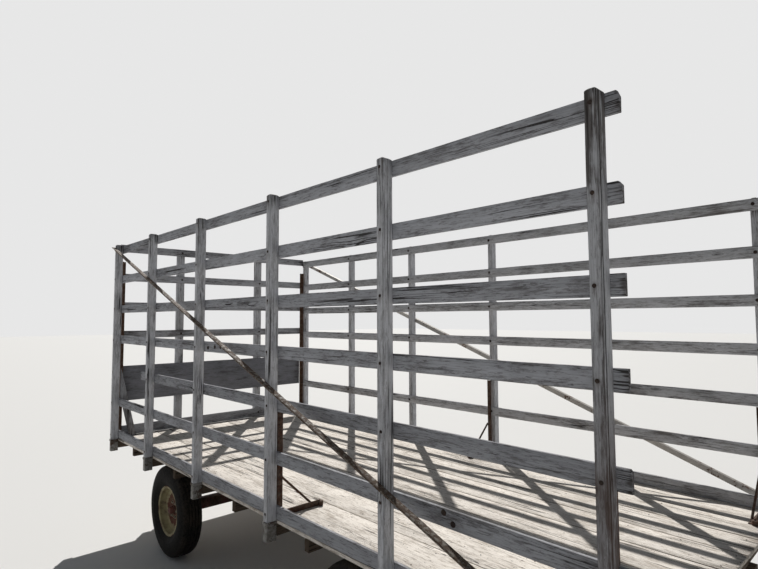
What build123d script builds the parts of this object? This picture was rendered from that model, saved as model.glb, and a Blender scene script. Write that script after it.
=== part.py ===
from build123d import *
from math import asin, atan, atan2, cos, degrees, hypot, pi, radians, sin
import os

# Four wheeled hay wagon: plank deck, high slatted racks on three sides, steered running gear.
# Millimetres. +X is the tongue end, +Y the left side, +Z up, the floor at Z = 0,
# and the origin lies under the middle of the whole wagon.

os.makedirs("parts", exist_ok=True)

# Deck
deck_length = 5450.0
deck_width = 2438.0
deck_height = 885.0
plank_pitch = 285.0
first_plank_width = 133.0
plank_count = 9
plank_gap = 6.0
tight_gap = 1.5
tight_joints = 3
plank_thickness = 24.0

# Sills under the deck
cross_sill_width = 60.0
cross_sill_depth = 75.0
middle_sill_width = 45.0
long_sill_width = 60.0
long_sill_depth = 140.0
long_sill_spacing = 1000.0

# Rack posts: distance of the end posts from the deck's ends, then how the bays share what is between
first_post = 85.0
last_post = 31.0
bay_shares = (0.1905, 0.1991, 0.2045, 0.2004, 0.2055)
# The left posts, and the sills' left ends with them, stand this far behind the right ones
left_setback = 48.0
# Place of each bay's middle sill as a share of the bay
middle_sill_shares = (0.5, 0.5, 0.5, 0.33, 0.5)
post_along = 45.0
post_out = 70.0
post_top = 2088.0
post_top_bevel = 9.0
rear_post_spacing = 1045.0
rear_post_along = 75.0

# Rack boards
board_thickness = 19.0
board_height = 84.0
board_front_overhang = 43.0
board_rear_start = 12.0
# Height of each side board's top edge above the deck, lowest first
side_board_tops = (board_height, 422.0, 757.0, 1096.0, 1426.0, 1752.0, 2078.0)
short_board_index = 2
short_board_start = 728.0
rear_kick_height = 110.0
rear_kick_gap = 3.0
# Height of each full rear board's top edge above the deck
rear_board_tops = (1146.0, 1464.0, 1782.0, 2104.0)
panel_thickness = 12.0
panel_bottom = 376.0
panel_height = 384.0
panel_end_gap = 34.0

# Stake pockets: steel sleeves bolted to the sill ends
pocket_shoulder = 5.0
pocket_clearance = 1.0
pocket_drop = 6.0
pocket_depth = 122.0
pocket_lip_height = 16.0
pocket_lip_proud = 6.0
pocket_floor = 5.0
pocket_seat_gap = 0.3

# Diagonal braces of angle iron outside the side posts
brace_leg = 38.0
brace_wall = 5.0
brace_top_height = 2040.0
brace_foot_height = 30.0

# Steel knee brackets inside the side racks, at these posts
bracket_post_numbers = (3, 5)
bracket_leg = 38.0
bracket_wall = 5.0
bracket_height = 672.0
bracket_foot = 340.0
bracket_boss_size = 40.0
bracket_boss_height = 30.0
bracket_rod_width = 16.0
bracket_rod_top = 265.0
bracket_rod_inset = 28.0
bracket_rod_end = 300.0

# Rear corner angles and the wooden strut in the right rear corner
corner_angle_leg = 38.0
corner_angle_wall = 5.0
corner_angle_bottom = 60.0
corner_angle_height = 1850.0
strut_width = 70.0
strut_thickness = 22.0
strut_top = 750.0
strut_reach = 175.0
strut_gap = 4.0

# Running gear
rear_axle_place = 1280.0
front_axle_place = 3960.0
wheel_inset = 60.0
kingpin_inset = 74.0
axle_beam = 90.0
axle_wall = 8.0
rear_beam_gap = 40.0
bolster_width = 90.0
bolster_depth = 100.0
bolster_wall = 8.0
bolster_stake_height = 170.0
bolster_stake_size = 50.0
bolster_stake_gap = 4.0
bolster_leg_length = 160.0
reach_size = 80.0
reach_wall = 6.0
reach_plate = 12.0
reach_plate_side = 130.0
hound_thickness = 12.0
hound_height = 60.0
hound_length = 950.0
hound_spread = 420.0
hound_root = 14.4
hound_lap = 90.0

# Wheels, whose round forms have this many flats
wheel_flats = 30
hub_flats = 20
tyre_diameter = 805.0
tyre_width = 205.0
tread_width = 132.0
tyre_shoulder_width = 172.0
tyre_shoulder_drop = 14.0
tyre_bulge_diameter = 640.0
rim_flange_diameter = 442.0
rim_seat_diameter = 406.0
rim_width = 150.0
rim_lip = 6.0
rim_wall = 6.0
rim_well_width = 44.0
rim_well_diameter = 354.0
disc_thickness = 7.0
disc_offset = 12.0
disc_hub_diameter = 190.0
hub_barrel_diameter = 96.0
hub_barrel_length = 76.0
hub_nose_diameter = 74.0
hub_nose_length = 62.0
hub_seat_clearance = 0.5
hub_nose_wall = 32.0
hub_bore_clearance = 0.08
spindle_diameter = 46.0
spindle_root_size = 60.0
spindle_end_gap = 1.0
hub_root_gap = 1.0

# Steering
kingpin_diameter = 30.0
kingpin_head_size = 44.0
kingpin_head_height = 8.0
kingpin_clearance = 0.08
knuckle_diameter = 66.0
knuckle_height = 144.0
knuckle_end_gap = 0.3
axle_ear_thickness = 16.0
axle_ear_reach = 63.0
axle_ear_bevel = 24.0
arm_length = 250.0
arm_width = 46.0
arm_root_width = 54.0
arm_thickness = 14.0
tie_pin_diameter = 16.0
tie_pin_head = 26.0
tie_pin_head_height = 6.0
tie_rod_diameter = 24.0
tie_eye_thickness = 14.0
tie_eye_diameter = 46.0
tie_slot_length = 50.0
tie_slot_width = 30.0
tie_slot_edge = 10.0
tie_inner_flat = 90.0
tie_outer_flat = 50.0
tie_gap = 0.3
yoke_pin_diameter = 28.0
yoke_pin_head_size = 42.0
yoke_pin_offset = 38.0
yoke_hub_diameter = 62.0
yoke_hub_height = 112.0
yoke_mount_width = 90.0
yoke_mount_thickness = 12.0
yoke_plate_thickness = 12.0
yoke_plate_rise = 50.5
yoke_plate_start = 35.0
yoke_web_width = 40.0
yoke_front_gap = 56.0
yoke_ear_spacing = 92.0
yoke_ear_plate = 12.0
yoke_ear_height = 84.0
yoke_ear_root = 90.0
ear_bevel_share = 0.6

# Tongue
tongue_pin_reach = 262.0
tongue_pin_diameter = 24.0
tongue_pin_clearance = 0.08
tongue_pin_head = 38.0
tongue_pin_head_height = 8.0
tongue_size = 76.0
tongue_wall = 6.0
tongue_bulkhead = 2.0
tongue_eye_size = 58.0
tongue_side_gap = 5.0
tongue_length = 2366.0
clevis_width = 76.0
clevis_length = 190.0
clevis_root = 60.0
clevis_opening = 44.0
hitch_bore_diameter = 32.0
hitch_edge = 44.0

# Levels worked out from the sizes above
half_width = deck_width / 2
axle_height = tyre_diameter / 2
plank_bottom = deck_height - plank_thickness
cross_sill_bottom = plank_bottom - cross_sill_depth
long_sill_bottom = cross_sill_bottom - long_sill_depth
wheel_middle = half_width - wheel_inset - tyre_width / 2
kingpin_side = half_width - wheel_inset - tyre_width - kingpin_inset

# The tongue rests on the floor at its clevis
tongue_tip = tongue_length + hitch_edge
tongue_half = tongue_size / 2
tongue_reach = hypot(tongue_tip, tongue_half)
tongue_drop = degrees(asin(axle_height / tongue_reach) - atan(tongue_half / tongue_tip))

# Places along the wagon are given from the deck's rear edge and shifted to the origin
tongue_hinge_place = front_axle_place + axle_beam / 2 + yoke_pin_offset + tongue_pin_reach
tip_top = tongue_tip * cos(radians(tongue_drop)) + tongue_half * sin(radians(tongue_drop))
front_reach = tongue_hinge_place + tip_top
rear_reach = post_out + pocket_lip_proud
rear_edge = rear_reach - (front_reach + rear_reach) / 2
deck_front = rear_edge + deck_length
rear_axle_x = rear_edge + rear_axle_place
front_axle_x = rear_edge + front_axle_place
yoke_pin_x = front_axle_x + axle_beam / 2 + yoke_pin_offset
tongue_hinge_x = rear_edge + tongue_hinge_place

rack_length = deck_length - first_post - last_post
bay_lengths = [share * rack_length for share in bay_shares]
post_xs = [rear_edge + first_post + sum(bay_lengths[:i]) for i in range(len(bay_lengths) + 1)]
rear_post_ys = (-rear_post_spacing / 2, rear_post_spacing / 2)
sides = {"right": -1, "left": 1}
setbacks = {-1: 0.0, 1: left_setback}


def block(x_span, y_span, z_span):
    """A box between two limits on each axis."""
    size = [high - low for low, high in (x_span, y_span, z_span)]
    corner = Pos(x_span[0], y_span[0], z_span[0])
    return corner * Box(*size, align=(Align.MIN, Align.MIN, Align.MIN))


def side_span(side, inner, outer):
    """Limits on Y for distances from the middle, on the right or the left side."""
    return tuple(sorted((side * inner, side * outer)))


def upright(diameter, x, y, z_low, z_high):
    """A vertical cylinder."""
    low = Align.MIN
    return Pos(x, y, z_low) * Cylinder(diameter / 2, z_high - z_low, align=(Align.CENTER, Align.CENTER, low))


def lying(diameter, x, z, y_low, y_high):
    """A cylinder along Y."""
    middle = (y_low + y_high) / 2
    return Pos(x, middle, z) * Rot(90, 0, 0) * Cylinder(diameter / 2, y_high - y_low)


def nut(size, x, y, z_low, z_high):
    """A hexagon head or nut on a vertical axis."""
    return Pos(x, y, z_low) * extrude(RegularPolygon(size / 2, 6), z_high - z_low)


def eared(x_span, y_span, z_span, bevel, axis, last=True):
    """A plate with its corners bevelled at one end along the axis."""
    plate = block(x_span, y_span, z_span)
    edges = plate.edges().filter_by(Axis.Z).sort_by(axis)
    return chamfer(edges[-2:] if last else edges[:2], bevel)


def bar_between(start, end, width):
    """A hexagon bar between two points."""
    path = Line(start, end)
    return sweep(Plane(path @ 0, z_dir=path % 0) * RegularPolygon(width / 2, 6), path)


def save(name, solids):
    """Write one sub-part, made of one solid or of several that don't touch."""
    pieces = list(solids) if isinstance(solids, (list, tuple)) else [solids]
    shape = pieces[0] if len(pieces) == 1 else Compound(pieces)
    export_step(shape, f"parts/{name}.step")


# Deck planks run lengthwise: a narrow one at the right edge, then equal ones
def deck_planks():
    joints = [-half_width + first_plank_width + i * plank_pitch for i in range(plank_count - 1)]
    planks = []
    for i in range(plank_count):
        right = -half_width if i == 0 else joints[i - 1] + joint_gap(i - 1) / 2
        left = half_width if i == plank_count - 1 else joints[i] - joint_gap(i) / 2
        planks.append(block((rear_edge, deck_front), (right, left), (plank_bottom, deck_height)))
    return planks


def joint_gap(i):
    return tight_gap if i < tight_joints else plank_gap


# Sills: one under each pair of posts and one in each bay, on two long sills
def cross_sills():
    sills = []
    for i, x in enumerate(post_xs):
        sills.append((x, cross_sill_width))
        if i < len(bay_lengths):
            sills.append((x + middle_sill_shares[i] * bay_lengths[i], middle_sill_width))
    return [cross_sill(x, w / 2) for x, w in sills]


def cross_sill(x, half):
    back = x - left_setback
    outline = Polyline((x - half, -half_width), (x + half, -half_width), (back + half, half_width),
                       (back - half, half_width), close=True)
    return Pos(0, 0, cross_sill_bottom) * extrude(make_face(outline), cross_sill_depth)


def long_sills():
    z_span = (long_sill_bottom, cross_sill_bottom)
    sills = []
    for side in sides.values():
        middle = long_sill_spacing / 2
        y_span = side_span(side, middle - long_sill_width / 2, middle + long_sill_width / 2)
        sills.append(block((rear_edge, deck_front), y_span, z_span))
    return sills


# A rack post stands on the XY plane's origin edge, with its inner face at Y = 0 and facing +Y
def rack_post(along):
    seat = -pocket_drop
    tenon_along = along - 2 * pocket_shoulder
    tenon_out = post_out - pocket_shoulder
    shaft = block((-along / 2, along / 2), (0, post_out), (seat, post_top))
    shaft = chamfer(shaft.faces().sort_by(Axis.Z)[-1].edges(), post_top_bevel)
    low = -pocket_drop - pocket_depth + pocket_floor
    return shaft + block((-tenon_along / 2, tenon_along / 2), (0, tenon_out), (low, seat))


def stake_pocket(along):
    top = -pocket_drop - pocket_seat_gap
    low = -pocket_drop - pocket_depth
    half = along / 2
    lip = pocket_lip_proud
    sleeve = block((-half, half), (0, post_out), (low, top))
    collar = block((-half - lip, half + lip), (0, post_out + lip), (top - pocket_lip_height, top))
    collar = chamfer(collar.edges().filter_by(Axis.Z).sort_by(Axis.Y)[-2:], lip)
    room_along = half - pocket_shoulder + pocket_clearance
    room_out = post_out - pocket_shoulder + pocket_clearance
    room = block((-room_along, room_along), (0, room_out), (low + pocket_floor, top))
    return sleeve + collar - room


def along_side(shape, side):
    """One copy of a post's piece at each post of a side."""
    turn = Rot(0, 0, 0) if side > 0 else Rot(0, 0, 180)
    return [Pos(x - setbacks[side], side * half_width, deck_height) * turn * shape for x in post_xs]


def along_rear(shape):
    return [Pos(rear_edge, y, deck_height) * Rot(0, 0, 90) * shape for y in rear_post_ys]


def side_boards(side):
    y_span = side_span(side, half_width - board_thickness, half_width)
    boards = []
    for i, top in enumerate(side_board_tops):
        start = board_rear_start
        if side < 0 and i == short_board_index:
            start = short_board_start
        x_span = (rear_edge + board_thickness + start, deck_front + board_front_overhang)
        boards.append(block(x_span, y_span, (deck_height + top - board_height, deck_height + top)))
    return boards


def rear_boards():
    x_span = (rear_edge, rear_edge + board_thickness)
    y_span = (-half_width, half_width)
    boards = [block(x_span, y_span, (deck_height + rear_kick_gap, deck_height + rear_kick_height))]
    for top in rear_board_tops:
        boards.append(block(x_span, y_span, (deck_height + top - board_height, deck_height + top)))
    return boards


def rear_panel():
    y_edge = half_width - board_thickness - panel_end_gap
    z_low = deck_height + panel_bottom
    x_span = (rear_edge, rear_edge + panel_thickness)
    return block(x_span, (-y_edge, y_edge), (z_low, z_low + panel_height))


# Angle iron brace outside the posts, from the rear post's top to the front post's foot
def diagonal_brace(side):
    start_x = post_xs[0] - setbacks[side] - post_along / 2
    end_x = post_xs[-1] - setbacks[side] + post_along / 2
    rise = brace_top_height - brace_foot_height
    length = hypot(end_x - start_x, rise)
    angle = degrees(atan2(rise, end_x - start_x))
    leg = brace_leg
    wall = brace_wall
    flat = block((0, length), (0, wall), (-leg / 2, leg / 2))
    edge = block((0, length), (0, leg), (leg / 2 - wall, leg / 2))
    angle_iron = Rot(0, angle, 0) * (flat + edge)
    turned = angle_iron if side > 0 else mirror(angle_iron, about=Plane.XZ)
    return Pos(start_x, side * (half_width + post_out), deck_height + brace_top_height) * turned


# Knee bracket at X = 0 with the boards at Y = 0: an upright angle, a foot angle and a rod
def knee_bracket(side):
    leg = bracket_leg
    wall = bracket_wall
    rear = side_span(side, 0, leg)
    web = side_span(side, 0, wall)
    bracket = block(rear, (0, wall), (0, bracket_height))
    bracket += block(web, (0, leg), (0, bracket_height))
    bracket += block(rear, (0, bracket_foot), (0, wall))
    bracket += block(web, (0, bracket_foot), (0, leg))
    bracket += nut(bracket_boss_size, 0, bracket_foot, 0, bracket_boss_height)
    middle = side * bracket_rod_inset
    high = Vector(middle, bracket_rod_inset - wall, bracket_rod_top)
    low = Vector(middle, bracket_rod_end, wall)
    rod = bar_between(high, low, bracket_rod_width)
    tie = block(side_span(side, 0, bracket_rod_inset), (wall, bracket_rod_inset),
                (bracket_rod_top - wall, bracket_rod_top + wall))
    below = block((-leg, leg), (0, bracket_foot), (-leg, 0))
    return bracket + tie + (rod - below)


def knee_brackets(side):
    turn = Rot(0, 0, 180) if side > 0 else Rot(0, 0, 0)
    y = side * (half_width - board_thickness)
    bracket = knee_bracket(side)
    places = [post_xs[i] - setbacks[side] for i in bracket_post_numbers]
    return [Pos(x, y, deck_height) * turn * bracket for x in places]


def corner_angles():
    x = rear_edge + board_thickness
    z_span = (deck_height + corner_angle_bottom, deck_height + corner_angle_bottom + corner_angle_height)
    y_out = half_width - board_thickness
    angles = []
    for side in sides.values():
        flat = block((x, x + corner_angle_wall), side_span(side, y_out - corner_angle_leg, y_out), z_span)
        edge = block((x, x + corner_angle_leg), side_span(side, y_out - corner_angle_wall, y_out), z_span)
        angles.append(flat + edge)
    return angles


# Wooden strut from the right side boards down to the deck, just ahead of the corner angle
def corner_strut():
    lean = atan2(strut_reach, strut_top)
    length = hypot(strut_reach, strut_top) + strut_width
    bar = block((0, strut_thickness), (-strut_width, 0), (-strut_width, length))
    y_wall = -(half_width - board_thickness)
    foot = Pos(0, y_wall + strut_reach, deck_height) * Rot(degrees(lean), 0, 0) * bar
    room = block((0, strut_thickness), (y_wall, 0), (deck_height, deck_height + strut_top))
    strut = foot & room
    return Pos(rear_edge + board_thickness + corner_angle_leg + strut_gap, 0, 0) * strut


# Wheels turn about the Y axis and are drawn with their outer side to +Y
def in_flats(outline, flats):
    """A ring of flats about the Y axis, from its closed outline of (place along the axle, radius)."""
    faces = []
    for i in range(flats):
        for start, end in zip(outline, outline[1:] + outline[:1]):
            corners = [flat_corner(start, i, flats), flat_corner(end, i, flats)]
            corners += [flat_corner(end, i + 1, flats), flat_corner(start, i + 1, flats)]
            faces.append(make_face(Polyline(*corners, close=True)))
    return Solid(Shell(faces))


def flat_corner(point, step, flats):
    """A corner between two flats, whose middles lie at the outline's radius."""
    along, radius = point
    turn = (2 * step - 1) * pi / flats
    reach = radius / cos(pi / flats)
    return (reach * sin(turn), along, reach * cos(turn))


def mirrored(outline):
    return [(-y, r) for y, r in reversed(outline)]


def wheel_tyre():
    crown = tyre_diameter / 2
    half = [(tread_width / 2, crown), (tyre_shoulder_width / 2, crown - tyre_shoulder_drop)]
    half += [(tyre_width / 2, tyre_bulge_diameter / 2), (rim_width / 2 - rim_lip, rim_seat_diameter / 2)]
    return in_flats(half + mirrored(half), wheel_flats)


# Rim: its seat between two lips, and a disc that leads in from its well to the hub
def wheel_rim():
    half = rim_width / 2
    half_well = rim_well_width / 2
    well = rim_well_diameter / 2
    hub = disc_hub_diameter / 2
    bore = hub_nose_diameter / 2 + hub_seat_clearance
    back = disc_offset - disc_thickness
    seat = (half - rim_lip, rim_seat_diameter / 2)
    lip = (half, rim_flange_diameter / 2)
    inside = (half - rim_lip, rim_seat_diameter / 2 - rim_wall)
    dish = (half_well, well)
    disc = [(half_well - disc_thickness, well), (back, hub), (back, bore)]
    disc += [(disc_offset, bore), (disc_offset, hub)]
    outside = [lip, seat] + mirrored([lip, seat])
    return in_flats(outside + mirrored([dish, inside]) + disc + [dish, inside], wheel_flats)


def wheel_hub():
    seat = disc_offset - disc_thickness
    barrel_in = seat - hub_barrel_length
    nose_end = seat + hub_nose_length
    room_end = nose_end - hub_nose_wall
    barrel = hub_barrel_diameter / 2
    nose = hub_nose_diameter / 2
    bore = spindle_diameter / 2 + hub_bore_clearance
    core = bore / 2
    outline = [(barrel_in, core), (barrel_in, barrel), (seat, barrel)]
    outline += [(seat, nose), (nose_end, nose), (nose_end, core)]
    plug = lying(2 * bore, 0, 0, barrel_in, nose_end)
    return in_flats(outline, hub_flats) + plug - lying(2 * bore, 0, 0, barrel_in, room_end)


def place_wheel(shape, x, side):
    turn = Rot(0, 0, 0) if side > 0 else Rot(0, 0, 180)
    return Pos(x, side * wheel_middle, axle_height) * turn * shape


# Axles
def square_tube(size, wall, x, y_span, z):
    outer = block((x - size / 2, x + size / 2), y_span, (z - size / 2, z + size / 2))
    core = size / 2 - wall
    return outer - block((x - core, x + core), y_span, (z - core, z + core))


def spindle(x, side, start):
    """The stub that carries a wheel: a square root, then the round part in the hub."""
    seat = wheel_middle + disc_offset - disc_thickness
    root_end = seat - hub_barrel_length - hub_root_gap
    shaft_end = seat + hub_nose_length - hub_nose_wall - spindle_end_gap
    half = spindle_root_size / 2
    z_span = (axle_height - half, axle_height + half)
    root = block((x - half, x + half), side_span(side, start, root_end), z_span)
    return root + lying(spindle_diameter, x, axle_height, *side_span(side, root_end, shaft_end))


def rear_axle():
    end = wheel_middle - tyre_width / 2 - rear_beam_gap
    beam = square_tube(axle_beam, axle_wall, rear_axle_x, (-end, end), axle_height)
    for side in sides.values():
        beam += block((rear_axle_x - axle_beam / 2, rear_axle_x + axle_beam / 2),
                      side_span(side, end - axle_wall, end),
                      (axle_height - axle_beam / 2, axle_height + axle_beam / 2))
        beam += spindle(rear_axle_x, side, end)
    return beam


def front_axle():
    ear_low = axle_height - knuckle_height / 2 - knuckle_end_gap
    ear_high = axle_height + knuckle_height / 2 + knuckle_end_gap
    root = kingpin_side - axle_ear_reach
    x_span = (front_axle_x - axle_beam / 2, front_axle_x + axle_beam / 2)
    beam = square_tube(axle_beam, axle_wall, front_axle_x, (-root, root), axle_height)
    for side in sides.values():
        y = side * kingpin_side
        z_span = (ear_low - axle_ear_thickness, ear_high + axle_ear_thickness)
        beam += block(x_span, side_span(side, root - axle_wall, root), z_span)
        for low in (ear_low - axle_ear_thickness, ear_high):
            ear_z = (low, low + axle_ear_thickness)
            y_span = side_span(side, root - axle_wall, kingpin_side + axle_beam / 2)
            beam += eared(x_span, y_span, ear_z, axle_ear_bevel, Axis.Y, side > 0)
        beam += pinned(kingpin_diameter, kingpin_head_size, front_axle_x, y, z_span)
    return beam + yoke_mount()


def pinned(diameter, head, x, y, z_span):
    """An upright pin through two ears, with a hexagon at each end."""
    low, high = z_span
    pin = upright(diameter, x, y, low, high)
    pin += nut(head, x, y, low - kingpin_head_height, low)
    return pin + nut(head, x, y, high, high + kingpin_head_height)


# Two plates on the front of the axle with the yoke's pin through them
def yoke_mount():
    reach = yoke_hub_height / 2 + knuckle_end_gap
    thick = yoke_mount_thickness
    face = front_axle_x + axle_beam / 2
    y_span = (-yoke_mount_width / 2, yoke_mount_width / 2)
    z_span = (axle_height - reach - thick, axle_height + reach + thick)
    mount = block((face - axle_wall, face), y_span, z_span)
    for low in (axle_height - reach - thick, axle_height + reach):
        x_span = (face - axle_wall, yoke_pin_x + yoke_hub_diameter / 2)
        mount += eared(x_span, y_span, (low, low + thick), yoke_hub_diameter / 2, Axis.X)
    return mount + pinned(yoke_pin_diameter, yoke_pin_head_size, yoke_pin_x, 0, z_span)


# Bolsters: channels on the axles that carry the long sills between upright stakes
def bolster(x):
    top = long_sill_bottom
    bottom = top - bolster_depth
    inner = long_sill_spacing / 2 + long_sill_width / 2 + bolster_stake_gap
    end = inner + bolster_stake_size
    half = bolster_width / 2
    core = half - bolster_wall
    shape = block((x - half, x + half), (-end, end), (bottom, top))
    shape -= block((x - core, x + core), (-end, end), (bottom, top - bolster_wall))
    for side in sides.values():
        stake_x = (x - bolster_stake_size / 2, x + bolster_stake_size / 2)
        stake_z = (bottom, top + bolster_stake_height - long_sill_depth / 2)
        shape += block(stake_x, side_span(side, inner, end), stake_z)
        leg_y = side_span(side, end - bolster_leg_length, end)
        shape += block((x - half, x + half), leg_y, (axle_height + axle_beam / 2, bottom))
    return shape


# Reach pole between the axles, with its hounds spreading to the rear axle
def reach_pole():
    rear = rear_axle_x + axle_beam / 2
    front = front_axle_x - axle_beam / 2
    half = reach_size / 2
    core = half - reach_wall
    plate = reach_plate_side / 2
    length = (rear + reach_plate, front - reach_plate)
    pole = block(length, (-half, half), (axle_height - half, axle_height + half))
    pole -= block(length, (-core, core), (axle_height - core, axle_height + core))
    z_span = (axle_height - axle_beam / 2, axle_height + axle_beam / 2)
    for x in (rear, front - reach_plate):
        pole += block((x, x + reach_plate), (-plate, plate), z_span)
    return pole


def rear_hounds():
    rear = rear_axle_x + axle_beam / 2
    front = rear + hound_length
    half = reach_size / 2
    z_low = axle_height - hound_height / 2
    hounds = []
    for side in sides.values():
        inner = side * half
        outer = side * (half + hound_thickness)
        root = (rear, side * hound_spread)
        root_out = (rear, side * (hound_spread + hound_root))
        outline = Polyline(root, root_out, (front, outer), (front + hound_lap, outer),
                           (front + hound_lap, inner), (front, inner), close=True)
        hounds.append(Pos(0, 0, z_low) * extrude(make_face(outline), hound_height))
    return hounds


# Heights of the steering levels: the left tie rod lies on the yoke's plate, the right one over it
plate_top = axle_height + yoke_plate_rise
plate_low = plate_top - yoke_plate_thickness
tie_level = tie_eye_thickness + tie_gap
arm_tops = {-1: plate_top + tie_level, 1: plate_top}
arm_pin_x = front_axle_x + arm_length
stud_x = arm_pin_x


# Steering knuckle: barrel on the kingpin, spindle outwards and arm forwards
def knuckle(side):
    y = side * kingpin_side
    top = arm_tops[side]
    z_span = (axle_height - knuckle_height / 2, axle_height + knuckle_height / 2)
    root = arm_root_width / 2
    tip = arm_width / 2
    bevel = tip / 2
    front = arm_pin_x + tip
    outline = Polyline((front_axle_x, y - root), (front_axle_x, y + root), (front - bevel, y + tip),
                       (front, y + bevel), (front, y - bevel), (front - bevel, y - tip), close=True)
    shape = upright(knuckle_diameter, front_axle_x, y, *z_span)
    shape += spindle(front_axle_x, side, kingpin_side)
    shape += Pos(0, 0, top - arm_thickness) * extrude(make_face(outline), arm_thickness)
    shape -= upright(kingpin_diameter + 2 * kingpin_clearance, front_axle_x, y, *z_span)
    pin_top = top + tie_level + tie_gap
    shape += upright(tie_pin_diameter, arm_pin_x, y, top - arm_thickness, pin_top)
    return shape + nut(tie_pin_head, arm_pin_x, y, pin_top, pin_top + tie_pin_head_height)


# Tie rod from the knuckle's arm to the yoke, its inner end slotted round the yoke's stud
def tie_rod(side):
    low = arm_tops[side] + tie_gap
    z_span = (low, low + tie_eye_thickness)
    middle_z = low + tie_eye_thickness / 2
    x = arm_pin_x
    half_slot = tie_slot_length / 2
    half_room = tie_slot_width / 2
    edge = tie_slot_edge
    half_eye = tie_eye_diameter / 2
    y_pin = side * kingpin_side
    y_span = side_span(side, -half_room - edge, tie_inner_flat)
    inner = block((x - half_slot - edge, x + half_slot + edge), y_span, z_span)
    inner = chamfer(inner.edges().filter_by(Axis.Z), edge)
    inner -= block((x - half_slot, x + half_slot), (-half_room, half_room), z_span)
    y_span = side_span(side, kingpin_side - tie_outer_flat, kingpin_side + half_eye)
    outer = eared((x - half_eye, x + half_eye), y_span, z_span, half_eye / 2, Axis.Y, side > 0)
    outer -= upright(tie_pin_diameter + 2 * kingpin_clearance, x, y_pin, *z_span)
    rod_span = side_span(side, tie_inner_flat - edge, kingpin_side - tie_outer_flat + edge)
    return inner + outer + lying(tie_rod_diameter, x, middle_z, *rod_span)


# Steering yoke: hub on its pin, plate with the tie rods' stud, ears with the tongue's pin
def steering_yoke():
    half_hub = yoke_hub_height / 2
    half_web = yoke_web_width / 2
    front = tongue_hinge_x - yoke_front_gap
    ear_out = yoke_ear_spacing / 2 + yoke_ear_plate
    half_ear = yoke_ear_height / 2
    root = front - yoke_ear_root
    shape = upright(yoke_hub_diameter, yoke_pin_x, 0, axle_height - half_hub, axle_height + half_hub)
    shape += block((yoke_pin_x + yoke_plate_start, front), (-ear_out, ear_out), (plate_low, plate_top))
    shape += block((yoke_pin_x, front), (-half_web, half_web), (axle_height - half_hub, plate_top))
    for side in sides.values():
        y_span = side_span(side, yoke_ear_spacing / 2, ear_out)
        z_span = (axle_height - half_ear, axle_height + half_ear)
        ear = block((root, tongue_hinge_x + half_ear), y_span, z_span)
        ear = chamfer(ear.edges().filter_by(Axis.Y).sort_by(Axis.X)[-2:], half_ear * ear_bevel_share)
        ear += block((root, front), y_span, (axle_height, plate_low))
        head = nut(tongue_pin_head, 0, 0, 0, tongue_pin_head_height)
        shape += ear + Pos(tongue_hinge_x, side * ear_out, axle_height) * Rot(-90 * side, 0, 0) * head
    shape += lying(tongue_pin_diameter, tongue_hinge_x, axle_height, -ear_out, ear_out)
    stud_top = plate_top + 2 * tie_level + tie_gap
    shape += upright(tie_pin_diameter, stud_x, 0, plate_top, stud_top)
    shape += nut(tie_pin_head, stud_x, 0, stud_top, stud_top + tie_pin_head_height)
    bore = yoke_pin_diameter + 2 * kingpin_clearance
    return shape - upright(bore, yoke_pin_x, 0, axle_height - half_hub, axle_height + half_hub)


def lowered(shape):
    """Turn a piece drawn along +X from the hinge down to where the tongue rests."""
    return Pos(tongue_hinge_x, 0, axle_height) * Rot(0, tongue_drop, 0) * shape


def tongue():
    half = tongue_half
    core = half - tongue_wall
    side_half = yoke_ear_spacing / 2 - tongue_side_gap
    start = tongue_eye_size / 2 + tongue_bulkhead
    end = tongue_length + hitch_edge - clevis_length
    half_eye = tongue_eye_size / 2
    eye = block((-half_eye, half_eye), (-side_half, side_half), (-half_eye, half_eye))
    eye = chamfer(eye.edges().filter_by(Axis.Y), half_eye * ear_bevel_share)
    tube = block((0, end), (-half, half), (-half, half)) - block((start, end), (-core, core), (-core, core))
    bore = lying(tongue_pin_diameter + 2 * tongue_pin_clearance, 0, 0, -side_half, side_half)
    tail = block((-half, 0), (-half, half), (-half, half))
    return lowered(eye + tube - tail - bore)


def hitch_clevis():
    end = tongue_length + hitch_edge
    start = end - clevis_length
    half = clevis_width / 2
    gap = clevis_opening / 2
    shape = eared((start, end), (-half, half), (-tongue_half, tongue_half), half * ear_bevel_share, Axis.X)
    shape -= block((start + clevis_root, end), (-half, half), (-gap, gap))
    shape -= upright(hitch_bore_diameter, tongue_length, 0, -tongue_half, tongue_half)
    return lowered(shape)


save("deck_planks", deck_planks())
save("cross_sills", cross_sills())
save("long_sills", long_sills())
for name, side in sides.items():
    save(f"{name}_rack_posts", along_side(rack_post(post_along), side))
    save(f"{name}_stake_pockets", along_side(stake_pocket(post_along), side))
    save(f"{name}_rack_boards", side_boards(side))
    save(f"{name}_diagonal_brace", diagonal_brace(side))
    save(f"{name}_knee_brackets", knee_brackets(side))
save("rear_rack_posts", along_rear(rack_post(rear_post_along)))
save("rear_stake_pockets", along_rear(stake_pocket(rear_post_along)))
save("rear_rack_boards", rear_boards())
save("rear_panel", rear_panel())
save("rear_corner_angles", corner_angles())
save("rear_corner_strut", corner_strut())
save("rear_axle_beam", rear_axle())
save("front_axle_beam", front_axle())
save("rear_bolster", bolster(rear_axle_x))
save("front_bolster", bolster(front_axle_x))
save("reach_pole", reach_pole())
save("rear_hounds", rear_hounds())
save("steering_yoke", steering_yoke())
save("tongue_tube", tongue())
save("hitch_clevis", hitch_clevis())
for name, side in sides.items():
    save(f"{name}_knuckle", knuckle(side))
    save(f"{name}_tie_rod", tie_rod(side))
    for end, x in (("front", front_axle_x), ("rear", rear_axle_x)):
        save(f"{end}_{name}_tyre", place_wheel(wheel_tyre(), x, side))
        save(f"{end}_{name}_rim", place_wheel(wheel_rim(), x, side))
        save(f"{end}_{name}_hub", place_wheel(wheel_hub(), x, side))

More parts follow.
